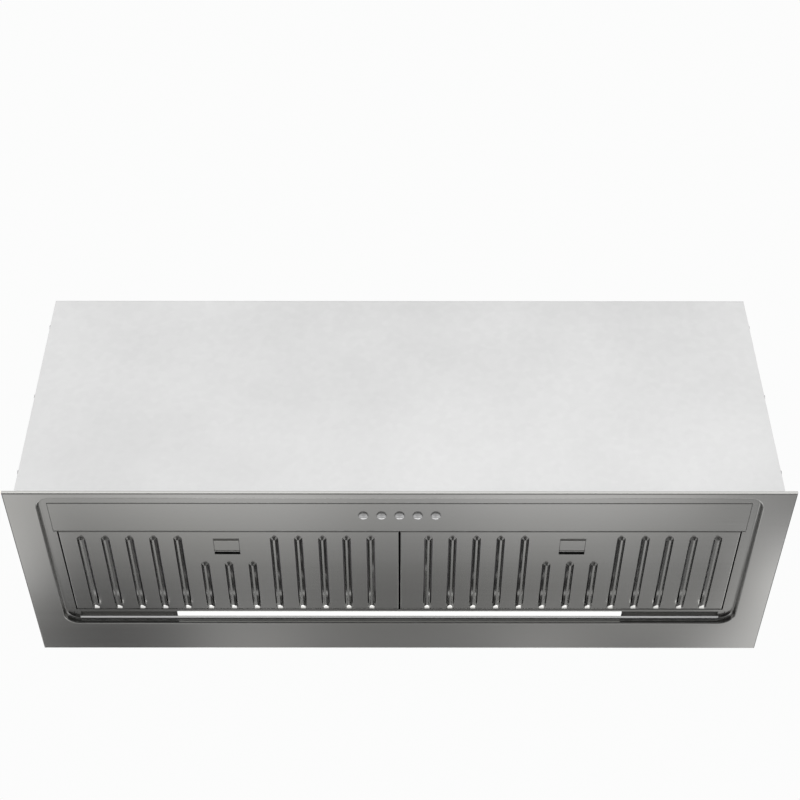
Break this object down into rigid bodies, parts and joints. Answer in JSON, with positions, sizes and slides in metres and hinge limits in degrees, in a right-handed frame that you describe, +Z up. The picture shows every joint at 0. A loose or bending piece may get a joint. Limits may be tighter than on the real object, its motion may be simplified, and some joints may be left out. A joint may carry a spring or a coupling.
{
  "type": "range hood insert",
  "caption": "Built-in range hood insert: stainless bottom pan with push buttons, louvred grease filters and a light bar under a zinc steel casing with blower and round duct collar.",
  "frame": {"origin": "centre of the flange's underside", "axes": "+Z up towards the duct, +X to the right seen from the front, +Y towards the wall"},
  "size_m": [0.86, 0.29, 0.366],
  "materials": {
    "stainless": "brushed stainless steel, grain along the width",
    "zinc_steel": "zinc-coated sheet, matt, softly mottled",
    "aluminium": "plain rolled aluminium",
    "button_chrome": "satin chrome caps",
    "frosted_lens": "frosted white, lit from behind",
    "black_plastic": "matt black moulding",
    "white_plastic": "matt off-white moulding",
    "circuit_board": "green glass-fibre board",
    "motor_paint": "dark grey painted steel",
    "bush_rubber": "soft black rubber",
    "screw_steel": "bright zinc plated steel"
  },
  "bodies": {
    "chassis": {"bottom_pan": "stainless", "control_strip": "stainless", "switch_housing": "black_plastic", "switch_board": "circuit_board", "light_channel": "stainless", "light_lens": "frosted_lens", "light_board": "circuit_board", "light_driver": "white_plastic", "casing_front": "zinc_steel", "casing_rear": "zinc_steel", "casing_left": "zinc_steel", "casing_right": "zinc_steel", "casing_top": "zinc_steel", "scroll_left": "black_plastic", "scroll_right": "black_plastic", "inlet_ring_left": "zinc_steel", "inlet_ring_right": "zinc_steel", "motor": "motor_paint", "motor_bracket": "zinc_steel", "bracket_bushes": "bush_rubber", "hanger_left": "zinc_steel", "hanger_right": "zinc_steel", "outlet_adapter": "black_plastic", "capacitor": "white_plastic", "capacitor_clip": "zinc_steel", "duct_collar": "zinc_steel", "flap_pins": "screw_steel", "terminal_box": "zinc_steel", "terminal_cover": "zinc_steel", "terminal_block": "white_plastic", "cable_gland": "black_plastic", "casing_screws": "screw_steel", "top_screws": "screw_steel", "collar_screws": "screw_steel", "scroll_screws": "screw_steel", "bracket_screws": "screw_steel"},
    "button_1_body": {"button_1": "button_chrome"},
    "button_2_body": {"button_2": "button_chrome"},
    "button_3_body": {"button_3": "button_chrome"},
    "button_4_body": {"button_4": "button_chrome"},
    "button_5_body": {"button_5": "button_chrome"},
    "filter_left": {"filter_left_face": "stainless", "filter_left_back": "aluminium", "filter_left_latch_cup": "black_plastic"},
    "latch_left": {"filter_left_latch": "stainless"},
    "filter_right": {"filter_right_face": "stainless", "filter_right_back": "aluminium", "filter_right_latch_cup": "black_plastic"},
    "latch_right": {"filter_right_latch": "stainless"},
    "wheel": {"wheel_disc": "zinc_steel", "wheel_cage_left": "zinc_steel", "wheel_cage_right": "zinc_steel", "motor_shaft": "screw_steel"},
    "front_flap": {"flap_front": "black_plastic"},
    "rear_flap": {"flap_rear": "black_plastic"}
  },
  "joints": [
    {"name": "button_1_press", "type": "slide", "parent": "chassis", "child": "button_1_body", "axis": [0, 0, 1], "range_m": [0, 0.002], "stiffness_N_per_m": 400, "springref_m": -0.001},
    {"name": "button_2_press", "type": "slide", "parent": "chassis", "child": "button_2_body", "axis": [0, 0, 1], "range_m": [0, 0.002], "stiffness_N_per_m": 400, "springref_m": -0.001},
    {"name": "button_3_press", "type": "slide", "parent": "chassis", "child": "button_3_body", "axis": [0, 0, 1], "range_m": [0, 0.002], "stiffness_N_per_m": 400, "springref_m": -0.001},
    {"name": "button_4_press", "type": "slide", "parent": "chassis", "child": "button_4_body", "axis": [0, 0, 1], "range_m": [0, 0.002], "stiffness_N_per_m": 400, "springref_m": -0.001},
    {"name": "button_5_press", "type": "slide", "parent": "chassis", "child": "button_5_body", "axis": [0, 0, 1], "range_m": [0, 0.002], "stiffness_N_per_m": 400, "springref_m": -0.001},
    {"name": "filter_left_drop", "type": "hinge", "parent": "chassis", "child": "filter_left", "pos_m": [-0.191, 0.0734, 0.0083], "axis": [1, 0, 0], "range_deg": [0, 70]},
    {"name": "latch_left_slide", "type": "slide", "parent": "filter_left", "child": "latch_left", "axis": [0, 1, 0], "range_m": [-0.003, 0.0046]},
    {"name": "filter_right_drop", "type": "hinge", "parent": "chassis", "child": "filter_right", "pos_m": [0.191, 0.0734, 0.0083], "axis": [1, 0, 0], "range_deg": [0, 70]},
    {"name": "latch_right_slide", "type": "slide", "parent": "filter_right", "child": "latch_right", "axis": [0, 1, 0], "range_m": [-0.003, 0.0046]},
    {"name": "wheel_spin", "type": "hinge", "parent": "chassis", "child": "wheel", "pos_m": [0, -0.0181, 0.1559], "axis": [1, 0, 0], "continuous": true},
    {"name": "front_flap_lift", "type": "hinge", "parent": "chassis", "child": "front_flap", "pos_m": [0, 0.0248, 0.334], "axis": [-1, 0, 0], "range_deg": [0, 78]},
    {"name": "rear_flap_lift", "type": "hinge", "parent": "chassis", "child": "rear_flap", "pos_m": [0, 0.0332, 0.334], "axis": [1, 0, 0], "range_deg": [0, 78]}
  ]
}
